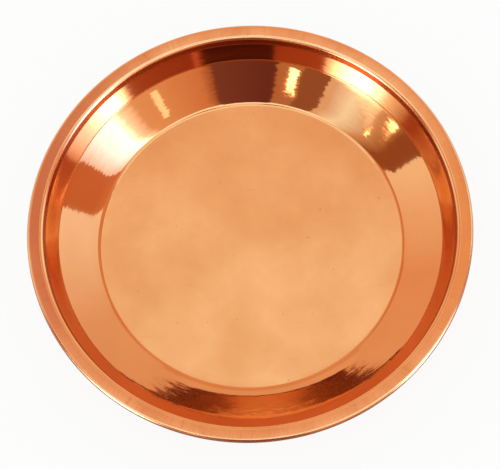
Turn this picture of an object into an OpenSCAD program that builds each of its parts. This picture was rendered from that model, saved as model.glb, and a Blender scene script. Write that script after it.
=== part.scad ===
// A round copper puja thali: one spun sheet, with its outer edge rolled over a wire.
// Millimetres, +Z up. The underside of the floor lies on Z = 0, centred on the Z axis.
// Slopes are measured from the horizontal, and the sizes of the shape are those of the upper face.

/* [Dish] */
// Overall diameter, over the rolled edge
rim_d = 200; // [150:1:300]
// Overall height, from the table to the top of the rim
height = 24; // [20:0.5:50]
// Thickness of the copper sheet
sheet = 0.6; // [0.4:0.05:0.8]

/* [Rim] */
// Width of the rim, from its inner corner to the outside of the rolled edge
rim_w = 6.2; // [4.5:0.1:15]
// Slope of the rim, which dips inwards
rim_slope = 5; // [0:0.5:10]
// Drop of the sloping lip inside the rim
lip_h = 0.8; // [0.6:0.1:2]
// Slope of the lip
lip_slope = 40; // [30:1:50]
// Drop of the short steep step below the lip
step_h = 3.4; // [2:0.1:6]
// Slope of the step
step_slope = 82; // [75:1:88]

/* [Sides] */
// Drop of the steep band below the step
band_h = 6.1; // [3:0.1:12]
// Slope of the band
band_slope = 50; // [42:0.5:60]
// Height of the small riser between the wall and the band
riser_h = 0.5; // [0.4:0.1:2]
// Slope of the riser
riser_slope = 75; // [65:1:80]
// Mean slope of the wide wall below the riser
wall_slope = 36.4; // [25:0.2:45]
// How much steeper the top of the wall is than its lower end
wall_hollow = 2.7; // [0.5:0.1:6]
// Height of the flatter foot between the wall and the floor
foot_h = 1.6; // [1:0.1:3]
// Slope of the foot
foot_slope = 29; // [20:1:35]

/* [Bends] */
// Radius between the floor and the foot
floor_bend = 4; // [1:0.1:6]
// Radius between the foot and the wall
foot_bend = 35; // [5:1:80]
// Radius between the wall and the riser
crease_bend = 1.1; // [0.5:0.1:6]
// Radius between the riser and the band
band_bend = 0.6; // [0.5:0.1:2]
// Radius between the band and the step
step_bend = 1.2; // [0.5:0.1:2]
// Radius between the step and the lip
lip_bend = 1; // [0.8:0.1:4]
// Radius between the lip and the rim
rim_bend = 2.4; // [1:0.1:4]

/* [Rolled edge] */
// Diameter of the wire inside the edge
wire_d = 1.6; // [1:0.1:2.6]
// Clearance between the wire and the sheet around it
wire_fit = 0.05; // [0.02:0.01:0.2]
// Gap where the two ends of the wire meet
wire_gap = 0.8; // [0.2:0.1:5]
// How far the sheet is rolled round the wire, in degrees
roll = 290; // [200:5:300]

/* [Hidden] */
bend_steps = 8;
wall_steps = 8;
roll_steps = 36;
turn_facets = 180;
wire_facets = 32;
roll_r = wire_d / 2 + wire_fit + sheet;
roll_mid = [rim_d / 2 - roll_r, height - roll_r];
roll_start = roll_mid + roll_r * left(rim_slope);
rim_corner = roll_start - (roll_start.x - rim_d / 2 + rim_w) * [1, tan(rim_slope)];
lip_corner = below(rim_corner, lip_h, lip_slope);
step_corner = below(lip_corner, step_h, step_slope);
band_corner = below(step_corner, band_h, band_slope);
crease_corner = below(band_corner, riser_h, riser_slope);
foot_corner = below(crease_corner, crease_corner.y - sheet - foot_h, wall_slope);
floor_corner = below(foot_corner, foot_h, foot_slope);
wall_low = wall_slope - wall_hollow / 2;
wall_top = wall_slope + wall_hollow / 2;
wall_l = norm(crease_corner - foot_corner);
wall_r = wall_l / 2 / sin(wall_hollow / 2);
// The two bends at the ends of the foot, the riser and the lip shrink where these are too short for them
foot_fit = min(1, foot_h / sin(foot_slope) / (cut(0, foot_slope, floor_bend) + cut(foot_slope, wall_low, foot_bend)));
riser_fit = min(1, riser_h / sin(riser_slope)
    / (cut(wall_top, riser_slope, crease_bend) + cut(riser_slope, band_slope, band_bend)));
lip_fit = min(1, lip_h / sin(lip_slope)
    / (cut(step_slope, lip_slope, lip_bend) + cut(lip_slope, rim_slope, rim_bend)));
wall_from = cut(foot_slope, wall_low, foot_bend * foot_fit) / wall_l + 0.02;
wall_to = 0.98 - cut(wall_top, riser_slope, crease_bend * riser_fit) / wall_l;

// The foot of a slope that drops by h from a corner
function below(corner, h, slope) = corner - h * [1 / tan(slope), 1];

// Unit vectors along a heading and to its left
function ahead(a) = [cos(a), sin(a)];
function left(a) = [-sin(a), cos(a)];

// What a bend of radius r takes off each side of its corner
function cut(a0, a1, r) = r * tan(abs(a1 - a0) / 2);

// Points of an arc that turns from heading a0 to a1 on radius r, moved off the path to its left
function arc(mid, a0, a1, r, off, steps) = [
    for (i = [0:steps])
        mid + (off - sign(a1 - a0) * r) * left(a0 + (a1 - a0) * i / steps)
];

// The arc that rounds a sharp corner of the path
function bend(corner, a0, a1, r, off) =
    let (start = corner - cut(a0, a1, r) * ahead(a0))
    arc(start + sign(a1 - a0) * r * left(a0), a0, a1, r, off, bend_steps);

// One face of the sheet, from the axis out to the end of the rolled edge.
// The path is the upper face, and off = -sheet gives the lower one.
function face(off) = concat(
    [[0, sheet + off]],
    bend(floor_corner, 0, foot_slope, floor_bend * foot_fit, off),
    bend(foot_corner, foot_slope, wall_low, foot_bend * foot_fit, off),
    arc(foot_corner + wall_r * left(wall_low), wall_low + wall_hollow * wall_from,
        wall_low + wall_hollow * wall_to, wall_r, off, wall_steps),
    bend(crease_corner, wall_top, riser_slope, crease_bend * riser_fit, off),
    bend(band_corner, riser_slope, band_slope, band_bend * riser_fit, off),
    bend(step_corner, band_slope, step_slope, step_bend, off),
    bend(lip_corner, step_slope, lip_slope, lip_bend * lip_fit, off),
    bend(rim_corner, lip_slope, rim_slope, rim_bend * lip_fit, off),
    arc(roll_mid, rim_slope, -roll, roll_r, off, roll_steps)
);

function backwards(points) = [for (i = [len(points) - 1:-1:0]) points[i]];

module thali_dish() {
    color("#e69a5c")
        rotate_extrude($fn = turn_facets)
            polygon(concat(face(0), backwards(face(-sheet))));
}

module rim_wire() {
    gap_angle = wire_gap / roll_mid.x * 180 / PI;
    color("#9a9a98")
        rotate_extrude(angle = 360 - gap_angle, $fn = turn_facets)
            translate(roll_mid)
                circle(d = wire_d, $fn = wire_facets);
}

thali_dish();
rim_wire();
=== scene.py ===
import math

import bmesh
import bpy
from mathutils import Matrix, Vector


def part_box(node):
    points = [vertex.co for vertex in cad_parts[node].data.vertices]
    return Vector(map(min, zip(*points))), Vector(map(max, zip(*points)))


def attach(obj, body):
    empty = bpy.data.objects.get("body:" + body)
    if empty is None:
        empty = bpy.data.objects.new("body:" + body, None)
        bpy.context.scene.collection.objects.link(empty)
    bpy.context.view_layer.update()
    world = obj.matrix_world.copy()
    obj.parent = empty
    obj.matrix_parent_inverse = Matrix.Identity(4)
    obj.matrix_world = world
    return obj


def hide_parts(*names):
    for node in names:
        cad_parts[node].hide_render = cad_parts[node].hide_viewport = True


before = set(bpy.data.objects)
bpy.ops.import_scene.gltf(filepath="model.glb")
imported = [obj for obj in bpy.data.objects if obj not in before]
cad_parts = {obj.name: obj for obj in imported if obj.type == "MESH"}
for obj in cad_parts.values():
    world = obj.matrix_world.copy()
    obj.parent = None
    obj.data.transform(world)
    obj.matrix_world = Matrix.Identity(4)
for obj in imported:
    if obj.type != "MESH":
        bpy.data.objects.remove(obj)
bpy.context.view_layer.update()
scene = bpy.context.scene
scene.view_settings.view_transform = "Standard"
mm = 0.001
print("frame loaded:", list(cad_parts))


# shared helpers

def directionOf(azimuth, elevation):
    turn, rise = math.radians(azimuth), math.radians(elevation)
    return Vector((math.sin(turn) * math.cos(rise), -math.cos(turn) * math.cos(rise), math.sin(rise)))


def newMaterial(name):
    material = bpy.data.materials.new(name)
    material.use_nodes = True
    nodes = material.node_tree.nodes
    nodes.clear()
    output = nodes.new("ShaderNodeOutputMaterial")
    return material, output


def addNode(material, kind, **sockets):
    node = material.node_tree.nodes.new(kind)
    for key, value in sockets.items():
        if hasattr(node, key):
            setattr(node, key, value)
        else:
            node.inputs[key.replace("_", " ")].default_value = value
    return node


def link(material, source, target):
    material.node_tree.links.new(source, target)


# the dish: one sheet, walked from its centre out to the end of the rolled edge, in millimetres and degrees

dish = {
    "sheet": 0.6,
    "rimWidth": 6.2,
    "stretches": ("foot", "wall", "riser", "band", "step", "lip"),
    "slope": {"foot": 29, "wall": 36.4, "riser": 75, "band": 50, "step": 82, "lip": 40, "rim": 5},
    "drop": {"foot": 1.6, "riser": 0.5, "band": 6.1, "step": 3.4, "lip": 0.8},  # the wall takes the rest
    "hollow": {"wall": 2.7, "band": 1.2},  # how far it curves up across its width
    # radius of the bend at the foot of each stretch
    "bend": {"foot": 4, "wall": 35, "riser": 1.1, "band": 0.6, "step": 1.2, "lip": 1, "rim": 2.4},
    "wire": 1.6,
    "wireFit": 0.05,
    "roll": 290,
    "turns": 320,  # faces round the dish
    "ringGap": 2.5,  # between rings on the long stretches
    "bendGap": 6,  # between rings in a bend, in degrees
    "bendRings": 6,  # the fewest in a bend
    "weld": 0.001,
    # finishes of the upper face outside the floor, each with the radius it reaches to
    "zones": ((87.1, "wall"), (87.35, "riser"), (92.0, "band"), (92.9, "step"), (94.7, "lip"),
              (98.6, "rim"), (101, "lip")),
    "floorOver": 0.2,  # the floor's finish runs this far into its bend
    "underFrom": 0.55,  # the roll's underside, which carries painted shade, starts where its normal rises less than this
}


def dishLegs():
    low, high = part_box("thali_dish")
    rimRadius, height = (high.x - low.x) / 2 / mm, high.z / mm
    rollRadius = dish["wire"] / 2 + dish["wireFit"] + dish["sheet"]
    dip = math.radians(dish["slope"]["rim"])
    rimRun = dish["rimWidth"] - rollRadius * (1 + math.sin(dip))
    rimDrop = rimRun * math.tan(dip) + rollRadius * (1 - math.cos(dip))
    drops = {"wall": height - rimDrop - dish["sheet"] - sum(dish["drop"].values()), **dish["drop"]}
    runs = {name: drop / math.tan(math.radians(dish["slope"][name])) for name, drop in drops.items()}
    names = ["floor", *dish["stretches"], "rim"]
    length = {name: math.hypot(drops[name], runs[name]) for name in dish["stretches"]}
    length["floor"] = rimRadius - dish["rimWidth"] - sum(runs.values())
    length["rim"] = rimRun / math.cos(dip)
    legs = []
    trim = 0
    for here, ahead in zip(names, names[1:]):
        sag = dish["hollow"].get(here, 0)
        rise = dish["slope"].get(ahead, 0) - dish["hollow"].get(ahead, 0) / 2
        turn = rise - dish["slope"].get(here, 0) - sag / 2
        bend = dish["bend"][ahead]
        cut = bend * math.tan(math.radians(abs(turn)) / 2)  # what the bend takes off each side
        legs.append((length[here] - trim - cut, sag, bend, turn))
        trim = cut
    legs.append((length["rim"] - trim, 0, rollRadius, -dish["roll"] - dish["slope"]["rim"]))
    return legs


def walkFace(bm, legs, drop):
    tip = bm.verts.new((0, 0, (dish["sheet"] - drop) * mm))
    heading = 0
    for length, sag, bend, turn in legs:
        rings = 1 + int(length / dish["ringGap"])
        for _ in range(rings):
            heading += math.radians(sag) / rings / 2
            ahead = Vector((math.cos(heading), 0, math.sin(heading)))
            tip = bmesh.ops.extrude_vert_indiv(bm, verts=[tip])["verts"][0]
            bmesh.ops.translate(bm, verts=[tip], vec=ahead * length / rings * mm)
            heading += math.radians(sag) / rings / 2
        side = Vector((-math.sin(heading), 0, math.cos(heading))) * math.copysign(1, turn)
        reach = bend + drop * math.copysign(1, turn)
        steps = max(dish["bendRings"], int(abs(turn) / dish["bendGap"]))
        spun = bmesh.ops.spin(bm, geom=[tip], cent=tip.co + side * reach * mm, axis=(0, -1, 0),
                              angle=math.radians(turn), steps=steps)
        tip = spun["geom_last"][0]
        heading += math.radians(turn)
    return tip


def zoneOf(face, legs):
    middle = face.calc_center_median()
    reach = math.hypot(middle.x, middle.y) / mm
    rimEnd = dish["zones"][-2][0]
    if face.normal.z < 0 and reach < rimEnd:
        return "back"
    # the roll's underside takes the finish with painted shade
    if face.normal.z < dish["underFrom"] and reach > rimEnd:
        return "under"
    zones = ((legs[0][0] + dish["floorOver"], "floor"), *dish["zones"])
    return next(name for edge, name in zones if reach < edge)


def makeDish():
    bm = bmesh.new()
    legs = dishLegs()
    tips = [walkFace(bm, legs, drop) for drop in (0, dish["sheet"])]
    bm.edges.new(tips)  # the sheet's raw edge, inside the roll
    bmesh.ops.spin(bm, geom=bm.verts[:] + bm.edges[:], axis=(0, 0, 1), angle=2 * math.pi,
                   steps=dish["turns"], use_merge=True)
    bmesh.ops.remove_doubles(bm, verts=bm.verts[:], dist=dish["weld"] * mm)
    bmesh.ops.recalc_face_normals(bm, faces=bm.faces[:])
    mesh = bpy.data.meshes.new("copperDish")
    for face in bm.faces:
        face.smooth = True
        face.material_index = list(finish).index(zoneOf(face, legs))
    bm.to_mesh(mesh)
    bm.free()
    piece = bpy.data.objects.new("copper_dish", mesh)
    scene.collection.objects.link(piece)
    return piece


# finishes of the dish: clouds between two coppers, and the marks of each zone

finish = {
    "floor": {
        "pale": (0.91, 0.43, 0.178), "deep": (0.81, 0.34, 0.124), "rough": (0.3, 0.36), "cloud": 26,
        "mottle": 0.22,
        "scratches": ((25, 0.73), (-62, 0.74)),  # which way they lie, and how sparse they are
        "scratchShare": 0.35, "scratch": (0.6, 0.22, 0.08),
        "speckShare": 0.45, "speck": (0.4, 0.15, 0.06),
    },
    "wall": {
        "pale": (0.81, 0.32, 0.12), "deep": (0.78, 0.295, 0.108), "rough": (0.045, 0.07), "cloud": 40,
        "waver": 0.026,
    },
    # painted shade: the narrow crease between wall and band gets a darker copper than the wall
    "riser": {
        "pale": (0.64, 0.3, 0.14), "deep": (0.54, 0.24, 0.11), "rough": (0.1, 0.16), "cloud": 40,
        "waver": 0.026,
    },
    "band": {
        "pale": (0.76, 0.28, 0.1), "deep": (0.7, 0.245, 0.085), "rough": (0.08, 0.12), "cloud": 40,
        "waver": 0.026,
    },
    # painted shade: the steep step gets a dark copper, for the dark line that it shows
    "step": {
        "pale": (0.4, 0.15, 0.065), "deep": (0.32, 0.11, 0.045), "rough": (0.1, 0.16), "cloud": 40,
        "waver": 0.026,
    },
    # painted highlight: the lip at the rim's inner edge and the top of its rolled outer edge get a paler
    # copper, for the bright line along them
    "lip": {
        "pale": (0.9, 0.44, 0.2), "deep": (0.85, 0.38, 0.17), "rough": (0.14, 0.2), "cloud": 60,
        "waver": 0.02,
    },
    # painted shade: the roll's underside gets a near-black copper, for the dark line along the outer edge
    "under": {
        "pale": (0.28, 0.09, 0.04), "deep": (0.2, 0.055, 0.025), "rough": (0.3, 0.4), "cloud": 60,
    },
    "rim": {
        "pale": (0.85, 0.33, 0.13), "deep": (0.76, 0.255, 0.092), "rough": (0.24, 0.3), "cloud": 60,
        "brushShare": 0.45, "brush": (0.55, 0.15, 0.05),
        # painted shade: two sides are darkened, standing for the dimmer room that the rim mirrors there; each
        # with its azimuth, where it starts, how much of it shows, its colour
        "shadedSides": ((-105, 0.5, 0.95, (0.58, 0.14, 0.055)), (82, 0.8, 0.75, (0.78, 0.24, 0.06))),
    },
    "back": {
        "pale": (0.82, 0.36, 0.14), "deep": (0.72, 0.27, 0.1), "rough": (0.32, 0.42), "cloud": 30,
    },
}

marks = {
    # noise scale, detail, and the two values that a mark fades in between; each finish scales its own clouds
    "cloud": (4, 0.35, 0.65),
    "grain": (420, 3, 0.3, 0.7),
    "mottle": (260, 5, 0.3, 0.7),
    "brush": (1, 3, 0.55, 0.75),
    # how fast the noise runs round the dish, and along its height or radius
    "waverStretch": (16, 1700),
    "brushStretch": (60, 60),
    "scratchStretch": (70, 2200, 1),  # along a scratch, across it and up
    "scratchFade": 0.06,
    "speckScale": 60,
    "speckSpread": 0.05,  # the widest speck as a share of a cell, before the loss
    "speckLoss": 0.018,  # taken off each, so that the smallest vanish
    "grainDepth": 0.003,  # in millimetres, like the next
    "brushDepth": 0.006,
}


def aroundDish(material):
    place = addNode(material, "ShaderNodeTexCoord")
    split = addNode(material, "ShaderNodeSeparateXYZ")
    flat = addNode(material, "ShaderNodeCombineXYZ")
    ring = addNode(material, "ShaderNodeVectorMath", operation="NORMALIZE")
    reach = addNode(material, "ShaderNodeVectorMath", operation="LENGTH")
    link(material, place.outputs["Object"], split.inputs[0])
    link(material, split.outputs[0], flat.inputs[0])
    link(material, split.outputs[1], flat.inputs[1])
    link(material, flat.outputs[0], ring.inputs[0])
    link(material, flat.outputs[0], reach.inputs[0])
    return place.outputs["Object"], ring.outputs[0], reach.outputs["Value"], split.outputs[2]


def stretched(material, ring, height, turns, rises):
    wide = addNode(material, "ShaderNodeVectorMath", operation="SCALE", Scale=turns)
    link(material, ring, wide.inputs[0])
    tall = addNode(material, "ShaderNodeMath", operation="MULTIPLY")
    tall.inputs[1].default_value = rises
    link(material, height, tall.inputs[0])
    lift = addNode(material, "ShaderNodeCombineXYZ")
    link(material, tall.outputs[0], lift.inputs[2])
    both = addNode(material, "ShaderNodeVectorMath", operation="ADD")
    link(material, wide.outputs[0], both.inputs[0])
    link(material, lift.outputs[0], both.inputs[1])
    return both.outputs[0]


def speckle(material, vector, scale, detail, low, high):
    texture = addNode(material, "ShaderNodeTexNoise", Scale=scale, Detail=detail)
    link(material, vector, texture.inputs["Vector"])
    fit = addNode(material, "ShaderNodeMapRange", From_Min=low, From_Max=high)
    link(material, texture.outputs[0], fit.inputs[0])
    return fit.outputs[0]


def blend(material, share, first, second):
    mix = addNode(material, "ShaderNodeMix", data_type="RGBA")
    link(material, share, mix.inputs[0])
    for socket, value in ((mix.inputs[6], first), (mix.inputs[7], second)):  # the colour sockets
        if isinstance(value, tuple):
            socket.default_value = (*value, 1)
        else:
            link(material, value, socket)
    return mix.outputs[2]


def spread(material, share, low, high):
    fit = addNode(material, "ShaderNodeMapRange", To_Min=low, To_Max=high)
    link(material, share, fit.inputs[0])
    return fit.outputs[0]


# tilts the normal a little to and fro, as on sheet that was spun and buffed by hand
def waver(material, vector, amount):
    texture = addNode(material, "ShaderNodeTexNoise", Scale=1.0, Detail=2.0)
    link(material, vector, texture.inputs["Vector"])
    centred = addNode(material, "ShaderNodeVectorMath", operation="SUBTRACT")
    centred.inputs[1].default_value = (0.5, 0.5, 0.5)
    link(material, texture.outputs["Color"], centred.inputs[0])
    small = addNode(material, "ShaderNodeVectorMath", operation="SCALE", Scale=amount)
    link(material, centred.outputs[0], small.inputs[0])
    shape = addNode(material, "ShaderNodeNewGeometry")
    both = addNode(material, "ShaderNodeVectorMath", operation="ADD")
    link(material, shape.outputs["Normal"], both.inputs[0])
    link(material, small.outputs[0], both.inputs[1])
    unit = addNode(material, "ShaderNodeVectorMath", operation="NORMALIZE")
    link(material, both.outputs[0], unit.inputs[0])
    return unit.outputs[0]


def fineBump(material, height, depth):
    bump = addNode(material, "ShaderNodeBump", Strength=1.0, Distance=depth * mm)
    link(material, height, bump.inputs["Height"])
    return bump.outputs[0]


def scratches(material, place, turn, sparse):
    lay = addNode(material, "ShaderNodeMapping", Scale=marks["scratchStretch"])
    lay.inputs["Rotation"].default_value = (0, 0, math.radians(turn))
    link(material, place, lay.inputs["Vector"])
    return speckle(material, lay.outputs[0], 1, 1, sparse, sparse + marks["scratchFade"])


def specks(material, place):
    cells = addNode(material, "ShaderNodeTexVoronoi", voronoi_dimensions="2D", Scale=marks["speckScale"])
    link(material, place, cells.inputs["Vector"])
    size = addNode(material, "ShaderNodeMath", operation="MULTIPLY_ADD")
    size.inputs[1].default_value = marks["speckSpread"]
    size.inputs[2].default_value = -marks["speckLoss"]
    link(material, cells.outputs["Color"], size.inputs[0])
    near = addNode(material, "ShaderNodeMath", operation="LESS_THAN")
    link(material, cells.outputs["Distance"], near.inputs[0])
    link(material, size.outputs[0], near.inputs[1])
    return near.outputs[0]


def markFloor(material, look, colour, place):
    mottle = speckle(material, place, *marks["mottle"])
    colour = blend(material, spread(material, mottle, 0, look["mottle"]), colour, look["deep"])
    for turn, sparse in look["scratches"]:
        lines = scratches(material, place, turn, sparse)
        colour = blend(material, spread(material, lines, 0, look["scratchShare"]), colour, look["scratch"])
    dots = specks(material, place)
    return blend(material, spread(material, dots, 0, look["speckShare"]), colour, look["speck"])


# painted shade: darkens the rim towards two sides
def shadeRimSides(material, look, colour, ring):
    for aim, start, share, tint in look["shadedSides"]:
        side = addNode(material, "ShaderNodeVectorMath", operation="DOT_PRODUCT")
        side.inputs[1].default_value = directionOf(aim, 0)
        link(material, ring, side.inputs[0])
        sideShade = addNode(material, "ShaderNodeMapRange", From_Min=start, From_Max=1.0, To_Max=share)
        link(material, side.outputs["Value"], sideShade.inputs[0])
        colour = blend(material, sideShade.outputs[0], colour, tint)
    return colour


def makeFinish(zone):
    look = finish[zone]
    material, output = newMaterial(zone + "Copper")
    shader = addNode(material, "ShaderNodeBsdfPrincipled", Metallic=1)
    place, ring, reach, height = aroundDish(material)
    clouds = speckle(material, place, look["cloud"], *marks["cloud"])
    colour = blend(material, clouds, look["deep"], look["pale"])
    rough = spread(material, clouds, look["rough"][1], look["rough"][0])
    if "waver" in look:
        normal = waver(material, stretched(material, ring, height, *marks["waverStretch"]), look["waver"])
    elif "brush" in look:
        strokes = speckle(material, stretched(material, ring, reach, *marks["brushStretch"]), *marks["brush"])
        colour = blend(material, spread(material, strokes, 0, look["brushShare"]), colour, look["brush"])
        normal = fineBump(material, strokes, marks["brushDepth"])
    else:
        normal = fineBump(material, speckle(material, place, *marks["grain"]), marks["grainDepth"])
    # the rim's painted shade on two sides
    if "shadedSides" in look:
        colour = shadeRimSides(material, look, colour, ring)
    if "scratches" in look:
        colour = markFloor(material, look, colour, place)
    link(material, colour, shader.inputs["Base Color"])
    link(material, rough, shader.inputs["Roughness"])
    link(material, normal, shader.inputs["Normal"])
    link(material, shader.outputs[0], output.inputs[0])
    return material


dishPiece = makeDish()
for zone in finish:
    dishPiece.data.materials.append(makeFinish(zone))
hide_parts("thali_dish")
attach(dishPiece, "root")
print("dish:", len(dishPiece.data.polygons), "faces")


# the wire inside the rolled edge keeps its CAD mesh

steelWire = {"pale": (0.55, 0.55, 0.54), "deep": (0.42, 0.42, 0.41), "rough": (0.38, 0.5), "cloud": 300}


def makeSteel():
    material, output = newMaterial("wireSteel")
    shader = addNode(material, "ShaderNodeBsdfPrincipled", Metallic=1)
    place = addNode(material, "ShaderNodeTexCoord").outputs["Object"]
    clouds = speckle(material, place, steelWire["cloud"], *marks["cloud"])
    link(material, blend(material, clouds, steelWire["deep"], steelWire["pale"]), shader.inputs["Base Color"])
    link(material, spread(material, clouds, *steelWire["rough"]), shader.inputs["Roughness"])
    link(material, shader.outputs[0], output.inputs[0])
    return material


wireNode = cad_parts["rim_wire"]
wireNode.data.materials.clear()
wireNode.data.materials.append(makeSteel())
print("wire: steel finish")


# studio: pale floor and surround, and cards for the boxes, lamps and dim screens that the metal mirrors

studio = {
    "surround": 1.05,
    "surroundColour": (1, 0.99, 0.97),
    "floorSize": 6,
    "floorDrop": 0.2,  # millimetres below the plate, so that the two don't share a face
    "floorColour": (0.8, 0.8, 0.79),
    "floorGlow": 0.9,
    "cardTurns": 24,
    "cardRises": 12,
    # each card: from and to azimuth, from and to elevation, reach, its colour or its left and right colours
    # or those of its low and then its high corners
    "cards": {
        "roomLow": (-91, 97, 0, 20, 2.4, (0.46, 0.12, 0.05)),
        "roomHigh": (-91, 97, 20, 60, 2.4, (0.36, 0.2, 0.13)),
        "centreLow": (-17, 13, 0, 20, 1.8, (0.07, 0.013, 0.008)),
        "centreMid": (-20, 11, 20.5, 37, 1.79, (0.4, 0.12, 0.08)),
        "centreHigh": (-20, 11, 20, 63, 1.8, (0.17, 0.06, 0.07), (0.24, 0.11, 0.11)),
        "rightLow": (13, 47, 0, 20, 2.3, (0.34, 0.06, 0.03), (0.5, 0.16, 0.07)),
        "rightLowStreak": (14.5, 16.5, 4, 19, 2.2, (0.8, 0.3, 0.18)),
        "rightFlankIn": (11, 17, 20, 60, 2.3, (0.42, 0.21, 0.14), (0.8, 0.48, 0.32)),
        "rightFlank": (17, 50, 20, 60, 2.3, (0.8, 0.48, 0.32), (0.98, 0.84, 0.68)),
        "rightStreak": (38, 41.5, 40, 45.5, 2.2, (1.6, 2, 2)),
        "rightBoxLowIn": (46, 54, 0, 20, 1.9, (0.7, 0.4, 0.2), (8, 11, 14)),
        "rightBoxLow": (54, 66, 0, 20, 1.9, (8, 11, 14), (2.4, 3.2, 5)),
        "rightBoxLowOut": (66, 80, 0, 20, 1.9, (2.4, 3.2, 5), (1, 0.7, 0.55)),
        "rightBoxSoft": (50, 57, 20, 60, 1.9, (0.98, 0.84, 0.68), (1.7, 2.3, 3.1)),
        "rightBoxIn": (57, 62, 20, 60, 1.9, (1.7, 2.3, 3.1), (4, 6, 9)),
        "rightBox": (62, 71, 20, 60, 1.9, (4, 6, 9), (2, 3.2, 6.5)),
        "rightBoxOut": (71, 81, 20, 60, 1.9, (2, 3.2, 6.5), (1.15, 1.45, 2.1)),
        "rightEdge": (79, 98.5, 0, 60, 2.3, (0.58, 0.17, 0.085), (0.5, 0.13, 0.06),
                      (0.82, 0.45, 0.29), (0.95, 0.58, 0.36)),
        "leftFlank": (-32, -20, 20, 60, 2.3, (0.58, 0.4, 0.28), (0.6, 0.36, 0.22)),
        "leftLamp": (-30.5, -26, 41.6, 45.2, 1.9, (5, 5, 4.6)),
        "leftLine": (-48, -44.5, 20, 60, 2.2, (0.97, 1, 1)),
        "leftPanel": (-72, -58, 20, 60, 2.3, (0.8, 0.7, 0.58), (1.2, 1.95, 2.6)),
        "leftPanelIn": (-58, -48, 20, 60, 2.3, (1.2, 1.95, 2.6), (0.95, 1, 1.15)),
        "leftEdge": (-92, -82, 20, 60, 2.3, (0.36, 0.17, 0.09)),
        "leftEdgeIn": (-82, -72, 20, 60, 2.3, (0.38, 0.2, 0.11), (0.8, 0.7, 0.58)),
        "leftLow": (-102, -82, 0, 10, 2.2, (1, 0.6, 0.35), (0.5, 0.17, 0.07)),
        "rightEdgeLow": (80, 106, 0, 7, 2.2, (0.5, 0.15, 0.08), (0.8, 0.4, 0.22)),
        "leftBoxSoft": (-76, -66, 0, 32, 1.9, (0.7, 0.4, 0.18), (1.5, 1.8, 1.8)),
        "leftBoxOut": (-66, -56, 0, 32, 1.9, (1.5, 2, 2.4), (7, 9, 12)),
        "leftBox": (-56, -45, 0, 32, 1.9, (7, 9, 12), (5, 6, 7)),
        "leftBoxIn": (-45, -38, 0, 32, 1.9, (5, 5.5, 6), (0.8, 0.6, 0.4)),
        "leftBoxTopOut": (-70, -56, 32, 38, 1.9, (1.5, 2, 2), (6, 7, 8), (1.1, 1.3, 1.5), (1.25, 2, 2.4)),
        "leftBoxTopIn": (-56, -46, 32, 38, 1.9, (6, 7, 8), (1.5, 1.6, 1.6), (1.25, 2, 2.4), (1, 1.05, 1.15)),
        "spotLamp": (-79, -74.8, 31, 34, 1.9, (6, 6, 5)),
        "spotLampLow": (-72.6, -70.8, 37.6, 38.6, 1.8, (5, 5, 4)),
        "topBox": (-75, 75, 60, 76, 1.9, (1.4, 2.1, 2.6)),
        "overCentre": (-25, 25, 76, 90, 1.9, (1.15, 1.4, 1.6)),
        "overRight": (25, 40, 76.5, 85, 1.85, (0.9, 0.75, 0.6), (0.17, 0.06, 0.05)),
        "overRightFar": (40, 60, 76.5, 85, 1.85, (0.17, 0.06, 0.05)),
        "overLeft": (-40, -25, 76.5, 85, 1.85, (0.17, 0.06, 0.05), (0.9, 0.75, 0.6)),
        "overLeftFar": (-60, -40, 76.5, 85, 1.85, (0.17, 0.06, 0.05)),
        "rightWindow": (98.5, 136, 0, 44, 2.3, (1.2, 1.6, 2), (0.97, 0.9, 0.83)),
        "rightBack": (136, 156, 0, 34, 2.3, (0.97, 0.9, 0.83), (0.95, 0.82, 0.7)),
        "rightHigh": (91, 156, 34, 58, 2.4, (0.87, 0.56, 0.36)),
        "leftWindow": (-130, -92, 0, 44, 2.3, (0.95, 0.75, 0.62), (1.15, 1.4, 1.5)),
        "leftBack": (-156, -130, 0, 34, 2.3, (0.95, 0.8, 0.68), (0.95, 0.75, 0.62)),
        "leftHigh": (-156, -91, 34, 60, 2.4, (0.8, 0.46, 0.3)),
        "backLow": (156, 204, 0, 18, 2.4, (0.95, 0.82, 0.7), (0.95, 0.8, 0.68)),
        "backHigh": (156, 204, 18, 56, 2.5, (0.88, 0.64, 0.48)),
        "ceilingRight": (100, 168, 58, 72, 2.5, (0.82, 0.56, 0.38)),
        "ceilingBack": (168, 260, 58, 67, 2.5, (0.93, 0.77, 0.62)),
        "ceilingOver": (100, 260, 72, 90, 2.5, (1.24, 1.72, 2)),
    },
}


def makeFloor():
    bm = bmesh.new()
    bmesh.ops.create_grid(bm, x_segments=1, y_segments=1, size=studio["floorSize"])
    bmesh.ops.translate(bm, verts=bm.verts[:], vec=(0, 0, -studio["floorDrop"] * mm))
    mesh = bpy.data.meshes.new("studioFloor")
    bm.to_mesh(mesh)
    bm.free()
    floor = bpy.data.objects.new("studio_floor", mesh)
    scene.collection.objects.link(floor)
    material, output = newMaterial("paleFloor")
    diffuse = addNode(material, "ShaderNodeBsdfDiffuse", Color=(*studio["floorColour"], 1))
    glow = addNode(material, "ShaderNodeEmission", Strength=1.0)
    mix = addNode(material, "ShaderNodeMixShader")
    path = addNode(material, "ShaderNodeLightPath")
    seen = addNode(material, "ShaderNodeMath", operation="MAXIMUM")
    share = addNode(material, "ShaderNodeMath", operation="MULTIPLY")
    share.inputs[1].default_value = studio["floorGlow"]
    link(material, path.outputs["Is Camera Ray"], seen.inputs[0])
    link(material, path.outputs["Is Glossy Ray"], seen.inputs[1])
    link(material, seen.outputs[0], share.inputs[0])
    link(material, share.outputs[0], mix.inputs[0])
    link(material, diffuse.outputs[0], mix.inputs[1])
    link(material, glow.outputs[0], mix.inputs[2])
    link(material, mix.outputs[0], output.inputs[0])
    mesh.materials.append(material)


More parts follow.
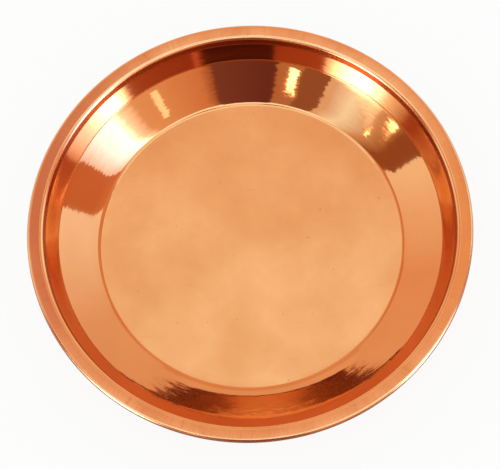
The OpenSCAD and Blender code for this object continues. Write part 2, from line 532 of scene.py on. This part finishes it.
def makeCard(name, left, right, low, high, reach, *colours):
    bm = bmesh.new()
    corner = bm.verts.new(directionOf(left, low) * reach)
    bmesh.ops.spin(bm, geom=[corner], axis=directionOf(left + 90, 0), angle=-math.radians(high - low),
                   steps=studio["cardRises"])
    bmesh.ops.spin(bm, geom=bm.verts[:] + bm.edges[:], axis=(0, 0, 1), angle=math.radians(right - left),
                   steps=studio["cardTurns"])
    corners = [Vector(colour) for colour in colours * (4 // len(colours))]
    layer = bm.verts.layers.float_color.new("glow")
    for vert in bm.verts:
        turn = math.degrees(math.atan2(vert.co.x, -vert.co.y)) - (left + right) / 2
        along = ((turn + 180) % 360 - 180) / (right - left) + 0.5
        rise = (math.degrees(math.atan2(vert.co.z, vert.co.xy.length)) - low) / (high - low)
        ends = [corners[i].lerp(corners[i + 1], along) for i in (0, 2)]
        vert[layer] = (*ends[0].lerp(ends[1], rise), 1)
    mesh = bpy.data.meshes.new(name)
    bm.to_mesh(mesh)
    bm.free()
    card = bpy.data.objects.new(name, mesh)
    scene.collection.objects.link(card)
    material, output = newMaterial(name)
    shade = addNode(material, "ShaderNodeAttribute", attribute_name="glow")
    glow = addNode(material, "ShaderNodeEmission", Strength=1.0)
    link(material, shade.outputs["Color"], glow.inputs["Color"])
    link(material, glow.outputs[0], output.inputs[0])
    mesh.materials.append(material)
    card.visible_camera = False
    card.visible_diffuse = False
    card.visible_shadow = False


makeFloor()
for name, card in studio["cards"].items():
    makeCard(name, *card)
world = bpy.data.worlds.new("surround")
scene.world = world
world.use_nodes = True
background = world.node_tree.nodes["Background"]
background.inputs["Color"].default_value = (*studio["surroundColour"], 1)
background.inputs["Strength"].default_value = studio["surround"]
print("studio done")


# camera, from the four ellipses that the rim, the shoulder, the crease and the floor make in the picture

photoView = {
    "frameWidth": 500,  # in pixels
    "distance": 0.78,  # to the aim point, at the height of the rim
    "elevation": 69.11,
    "roll": -5.38,
    "aim": (-0.0001, -0.0056, 0.02525),
    "focalPixels": 1749.5,
    "sensor": 36,
}


def makeCamera():
    data = bpy.data.cameras.new("photoCamera")
    data.sensor_width = photoView["sensor"]
    data.lens = photoView["focalPixels"] / photoView["frameWidth"] * photoView["sensor"]
    camera = bpy.data.objects.new("photo_camera", data)
    scene.collection.objects.link(camera)
    aim = Vector(photoView["aim"])
    camera.location = aim + directionOf(0, photoView["elevation"]) * photoView["distance"]
    camera.rotation_mode = "ZYX"  # the roll turns about the line of sight
    camera.rotation_euler = (math.radians(90 - photoView["elevation"]), 0, math.radians(photoView["roll"]))
    scene.camera = camera


makeCamera()
